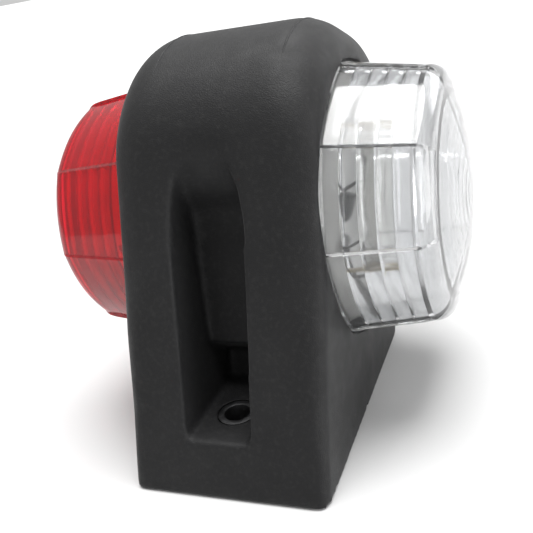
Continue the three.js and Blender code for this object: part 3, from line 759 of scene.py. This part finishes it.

# %% [markdown]
# ## Metal, white plastic, glass and sleeves
# The lamp holder is white plastic, the contacts and rivets are brass, the bulb caps are tinned, the foot
# plate is zinc-plated steel and the wires have black sleeves. The screw sleeve is zinc-plated too, but it
# is coloured near-black as painted shade for the dark pit of the scoop where it sits. They share the common
# recipe and differ in colour, gloss and grain. Rolled metal has its noise stretched into fine streaks.

# %% Small part finishes
white_plastic, _ = plain_finish("white_plastic", (0.66, 0.655, 0.63), (0.56, 0.55, 0.52), 70, (0.3, 0.5),
                                1800, 0.00006)
zinc_steel, _ = plain_finish("zinc_steel", (0.62, 0.63, 0.65), (0.48, 0.49, 0.5), 120, (0.25, 0.5),
                             2400, 0.00004, 1.0, (1, 12, 1))
# Near-black steel for the screw sleeve: painted shade for the dark pit of the scoop, not the sleeve's own
# zinc colour.
sleeve_shade_black, _ = plain_finish("shade_black_steel", (0.07, 0.07, 0.072), (0.04, 0.04, 0.041), 200,
                             (0.45, 0.65), 2400, 0.00004, 1.0)
brass, _ = plain_finish("rolled_brass", (0.62, 0.54, 0.38), (0.46, 0.39, 0.26), 220, (0.2, 0.4),
                        3000, 0.00003, 1.0, (12, 1, 1))
tinned, _ = plain_finish("tinned_caps", (0.8, 0.8, 0.8), (0.62, 0.62, 0.61), 300, (0.12, 0.3),
                         3200, 0.00003, 1.0)
tungsten, _ = plain_finish("tungsten_wire", (0.2, 0.2, 0.21), (0.12, 0.12, 0.13), 900, (0.35, 0.55),
                           5000, 0.00001, 1.0)
sleeve, _ = plain_finish("black_sleeve", (0.02, 0.02, 0.021), (0.012, 0.012, 0.012), 300, (0.35, 0.5),
                         2500, 0.00002)
bulb_glass = lens_finish("bulb_glass", (0.99, 0.99, 0.98), (0.95, 0.95, 0.93), 1.0, (0.0, 0.03))
print("small part finishes made")

# %% [markdown]
# ## Softened copies
# Plates, nuts, screws, contacts and rivets already have the right shape, but pressed and turned parts have
# broken edges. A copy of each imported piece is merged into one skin, and a narrow bevel rounds its sharp
# edges.

# %% Softened copies of plain pieces
def softened(node_name, new_name, body, slot, finish, width, segments=2):
    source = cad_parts[node_name]
    piece = source.copy()
    piece.data = source.data.copy()
    piece.name = new_name
    piece.parent = None
    for key in list(piece.keys()):
        del piece[key]
    bpy.context.scene.collection.objects.link(piece)
    open_piece(piece)
    bpy.ops.mesh.select_all(action="SELECT")
    bpy.ops.mesh.remove_doubles(threshold=2e-6)
    bpy.ops.mesh.customdata_custom_splitnormals_clear()
    bpy.ops.mesh.dissolve_limited(angle_limit=radians(1))
    close_piece()
    run_modifier(piece, "BEVEL", width=width * MM, segments=segments, limit_method="ANGLE",
                 angle_limit=radians(35))
    smooth(piece, 40)
    return fit_in(piece, body, slot, finish, node_name)


softened("base_plate", "foot_plate", "base", "zinc_steel", zinc_steel, 0.35)
# The screw sleeve takes the near-black steel, which is painted shade for the pit it sits in.
softened("fixing_sleeve", "screw_sleeve", "base", "zinc_steel", sleeve_shade_black, 0.3)
softened("rear_nut", "captive_nut", "base", "zinc_steel", zinc_steel, 0.3)
softened("cable_grommet", "inlet_grommet", "base", "soft_rubber", soft_black, 0.25)
softened("terminal_block", "wire_block", "base", "white_plastic", white_plastic, 0.5)
for word, _ in SIDES:
    softened(f"terminal_screw_{word}", f"wire_screw_{word}", "base", "brass", brass, 0.12)

# %% [markdown]
# ## Inside each lens
# A white tray carries the bulb. Two brass springs are riveted to it and hold a tubular bulb by its caps,
# and two wires come up through a hole. The tray and the gasket are spun and drawn to eight sides like the
# lens, so that they nest in it.

# %% Gaskets and trays
def eight_sided_piece(name, profile, side):
    piece = spun(name, profile, 160)
    return move_vertices(piece, lambda p: eight_sided(p) * (side, 1, side))


SEAL_BACK, SEAL_FRONT = 20.6, 21.6
SEAL_INNER, SEAL_OUTER = 33.0, 36.3
SEAL_EDGE = 0.2
TRAY_FACE = 25.5
TRAY_BACK = 19.8
TRAY_SHEET = 1.5
TRAY_RADIUS = 32.4
WIRE_HOLE = (-14.5, -4, 3.6)
RIVET_Z = 22.4
RIVET_HOLE = 1.5


def hole_cutter(y, z, radius, side):
    bpy.ops.object.select_all(action="DESELECT")
    bpy.ops.mesh.primitive_cylinder_add(vertices=40, radius=radius, depth=8,
                                        location=(side * TRAY_FACE, y, z), rotation=(0, pi / 2, 0))
    return bpy.context.object


for word, side in SIDES:
    seal = eight_sided_piece(f"{word}_seal", [
        (SEAL_BACK, SEAL_INNER + SEAL_EDGE), (SEAL_BACK, SEAL_OUTER - SEAL_EDGE),
        (SEAL_BACK + SEAL_EDGE, SEAL_OUTER), (SEAL_FRONT - SEAL_EDGE, SEAL_OUTER),
        (SEAL_FRONT, SEAL_OUTER - SEAL_EDGE), (SEAL_FRONT, SEAL_INNER + SEAL_EDGE),
        (SEAL_FRONT - SEAL_EDGE, SEAL_INNER), (SEAL_BACK + SEAL_EDGE, SEAL_INNER)], side)
    smooth(seal)
    fit_in(lay(seal), "base", "soft_rubber", soft_black, f"{word}_gasket")
    under = TRAY_FACE - TRAY_SHEET
    tray = eight_sided_piece(f"{word}_tray", [
        (under, 0), (under, TRAY_RADIUS - TRAY_SHEET - 0.5), (under - 0.5, TRAY_RADIUS - TRAY_SHEET),
        (TRAY_BACK, TRAY_RADIUS - TRAY_SHEET), (TRAY_BACK, TRAY_RADIUS), (TRAY_FACE - 0.8, TRAY_RADIUS),
        (TRAY_FACE - 0.25, TRAY_RADIUS - 0.2), (TRAY_FACE, TRAY_RADIUS - 0.8), (TRAY_FACE, 0)], side)
    for y, z, radius in (WIRE_HOLE, (0, RIVET_Z, RIVET_HOLE), (0, -RIVET_Z, RIVET_HOLE)):
        carve(tray, hole_cutter(y, z, radius, side))
    smooth(tray)
    fit_in(lay(tray), "base", "white_plastic", white_plastic, f"{word}_carrier")

# %% [markdown]
# ## Bulbs
# A festoon bulb is a thin glass tube with a metal cap at each end and a coiled wire between them. Glass and
# caps are spun; the filament is a fine tube wound by a formula, because its turns are the whole look of it.

# %% Bulb glass and caps
BULB_X = 34.5
BULB_HALF = 12.3
GLASS_SHEET = 0.5
CAP_START = 12.6
CAP_LENGTH = 5.0


def move_by(piece, offset):
    return move_vertices(piece, lambda p: p + offset)


def make_bulb_glass(word, side):
    lower_end = [(-BULB_HALF, 4.0), (-BULB_HALF + 1.2, 4.15), (-BULB_HALF + 2.6, 4.95),
                 (-BULB_HALF + 3.6, 5.1)]
    outside = lower_end + [(-z, radius) for z, radius in reversed(lower_end)]
    inside = [(z, radius - GLASS_SHEET) for z, radius in reversed(outside)]
    glass = spun(f"{word}_bulb_tube", outside + inside, 48, axis=(0, 0, 1))
    smooth(move_by(glass, (side * BULB_X, 0, 0)), 50)
    fit_in(lay(glass), "base", "bulb_glass", bulb_glass, f"{word}_bulb_glass")


def make_cap(word, side, level, end):
    skirt = [(CAP_START, 0), (CAP_START, 3.9), (CAP_START + 0.3, 4.2), (CAP_START + 2.1, 4.2),
             (CAP_START + 2.3, 4.05), (CAP_START + 2.5, 4.2)]
    crown = arc((CAP_START + 2.6, 1.6), (CAP_LENGTH - 2.6, 2.6), 90, 0, 8)
    cap_end = CAP_START + CAP_LENGTH
    tip = [(cap_end, 1.3), (cap_end + 0.6, 1.3), (cap_end + 0.9, 0.9), (cap_end + 0.9, 0)]
    cap = spun(f"{word}_cap_{level}", skirt + crown + tip, 48, axis=(0, 0, 1))
    move_vertices(cap, lambda p: p * (1, end, end) + (side * BULB_X, 0, 0))
    smooth(cap, 40)
    fit_in(lay(cap), "base", "tinned_metal", tinned, f"{word}_bulb_cap_{level}")


LEVELS = (("upper", 1), ("lower", -1))
for word, side in SIDES:
    make_bulb_glass(word, side)
    for level, end in LEVELS:
        make_cap(word, side, level, end)

# %% [markdown]
# ## Wires
# A wire is a curve with a round section, turned into a mesh. The black sleeve ends in a thicker boot above
# the tray, and the bare wire goes on in a thin arc to the spring. The thickness is set point by point.

# %% Tube along points
def tube(name, route, radii, resolution=3):
    """Points in millimetres with a radius at each; the ends are closed."""
    curve = bpy.data.curves.new(name, "CURVE")
    curve.dimensions = "3D"
    curve.bevel_depth = 1
    curve.bevel_resolution = resolution
    curve.use_fill_caps = True
    line = curve.splines.new("POLY")
    line.points.add(len(route) - 1)
    for point, place, radius in zip(line.points, route, radii):
        point.co = (*place, 1)
        point.radius = radius
    piece = bpy.data.objects.new(name, curve)
    bpy.context.scene.collection.objects.link(piece)
    take(piece)
    bpy.ops.object.convert(target="MESH")
    piece = bpy.context.object
    open_piece(piece)
    bpy.ops.mesh.select_all(action="SELECT")
    bpy.ops.mesh.remove_doubles(threshold=1e-4)
    bpy.ops.mesh.normals_make_consistent(inside=False)
    close_piece()
    return piece


def through(points, count):
    """A smooth line through the given points, evenly stepped between them."""
    points = np.array(points, float)
    padded = np.concatenate([[2 * points[0] - points[1]], points, [2 * points[-1] - points[-2]]])
    line = []
    for step in np.linspace(0, len(points) - 1, count):
        i = min(int(step), len(points) - 2)
        t = step - i
        a, b, c, d = padded[i:i + 4]
        line.append(0.5 * (2 * b + (c - a) * t + (2 * a - 5 * b + 4 * c - d) * t ** 2
                           + (3 * b - a - 3 * c + d) * t ** 3))
    return np.array(line)


# %% Wires and filaments
SLEEVE_RADIUS = 0.9
BOOT_RADIUS = 1.75
BARE_RADIUS = 0.3
ROUTES = {
    "upper": [(9.1, 2, -11.6), (11.5, 2, -11.6), (17.8, -11.5, -4.5), (24.5, -14.5, -2.5),
              (27.4, -17.0, -4.6), (28.8, -18.2, 1.6), (31.5, -18.5, 6.0), (30.5, -14.0, 13.0),
              (28.9, -6.0, 19.4), (27.4, -2.6, 20.3)],
    "lower": [(9.1, -2, -11.6), (11.5, -2, -11.6), (17.8, -11.5, -6.5), (24.5, -14.5, -5.5),
              (27.4, -16.5, -9.0), (28.6, -23.0, -11.6), (33.0, -24.0, -9.0), (33.0, -19.0, -13.0),
              (28.9, -6.0, -19.4), (27.4, -2.6, -20.3)],
}
BOOT_FROM, BOOT_TO = 3.9, 5.0
WIRE_STEPS = 109


def wire_radius(step):
    if step < BOOT_FROM:
        return SLEEVE_RADIUS
    return BOOT_RADIUS if step <= BOOT_TO else BARE_RADIUS


def make_wire(word, side, level):
    steps = np.linspace(0, len(ROUTES[level]) - 1, WIRE_STEPS)
    line = through(ROUTES[level], WIRE_STEPS) * (side, 1, 1)
    wire = tube(f"{word}_wire_{level}", line, [wire_radius(step) for step in steps])
    smooth(wire, 50)
    fit_in(lay(wire), "base", "lead_sleeve", sleeve, f"{word}_lead_{level}")


def make_filament(word, side):
    turns, half, coil, coil_radius, lead_in, thin = 22, 12.0, 4.6, 0.45, 0.6, 0.12
    heights = np.linspace(-coil, coil, turns * 10 + 1)
    winding = [(coil_radius * cos(i * pi / 5), coil_radius * sin(i * pi / 5), z)
               for i, z in enumerate(heights)]
    line = [(0, 0, -half), (0, 0, -coil - lead_in), *winding, (0, 0, coil + lead_in), (0, 0, half)]
    wire = tube(f"{word}_glow_wire", line, [thin] * len(line), 1)
    smooth(move_by(wire, (side * BULB_X, 0, 0)), 60)
    fit_in(lay(wire), "base", "tungsten", tungsten, f"{word}_filament")


for word, side in SIDES:
    make_filament(word, side)
    for level, _ in LEVELS:
        make_wire(word, side, level)
        softened(f"{word}_contact_{level}", f"{word}_spring_{level}", "base", "brass", brass, 0.12)
        softened(f"{word}_rivet_{level}", f"{word}_tray_rivet_{level}", "base", "brass", brass, 0.2)

# %% [markdown]
# ## Floor and light
# Black rubber shows its shape only by what it reflects, so it needs large soft lights. One wide light
# above greys the crest and fades down the front. Two weaker ones, beside and behind the clear lens, pick
# out the flank and the lens. An even pale surrounding fills the rest. The floor is plain and pale.

# %% Floor, surroundings and lights
FLOOR_SIZE = 40
FLOOR_DROP = 0.2
AIM_POINT = (0, 0, 0.05)

bpy.ops.object.select_all(action="DESELECT")
bpy.ops.mesh.primitive_plane_add(size=FLOOR_SIZE, location=(0, 0, body_low.z - FLOOR_DROP * MM))
floor = bpy.context.object
floor.name = "floor"
floor_finish, floor_shader = finish_named("pale_floor")
floor_shader.inputs["Base Color"].default_value = (0.54, 0.54, 0.54, 1)
floor_shader.inputs["Roughness"].default_value = 0.9
floor.data.materials.append(floor_finish)

world = bpy.context.scene.world or bpy.data.worlds.new("surroundings")
bpy.context.scene.world = world
world.use_nodes = True
world.node_tree.nodes["Background"].inputs["Color"].default_value = (1, 1, 1, 1)
world.node_tree.nodes["Background"].inputs["Strength"].default_value = 0.6


def soft_light(name, place, size, power):
    light = bpy.data.objects.new(name, bpy.data.lights.new(name, "AREA"))
    light.data.size = size
    light.data.energy = power
    light.location = place
    light.rotation_euler = (Vector(AIM_POINT) - Vector(place)).to_track_quat("-Z", "Y").to_euler()
    bpy.context.scene.collection.objects.link(light)


sky = bpy.data.objects.new("sky_light", bpy.data.lights.new("sky_light", "SUN"))
sky.data.energy = 5.2
sky.data.angle = radians(45)
sky.rotation_euler = (radians(-9), radians(3), 0)
bpy.context.scene.collection.objects.link(sky)
soft_light("clear_side", (0.55, -0.12, 0.12), 0.3, 2)
soft_light("flank_glow", (0.5, 0.8, 0.5), 0.5, 2.5)
bpy.context.scene.view_settings.view_transform = "Standard"
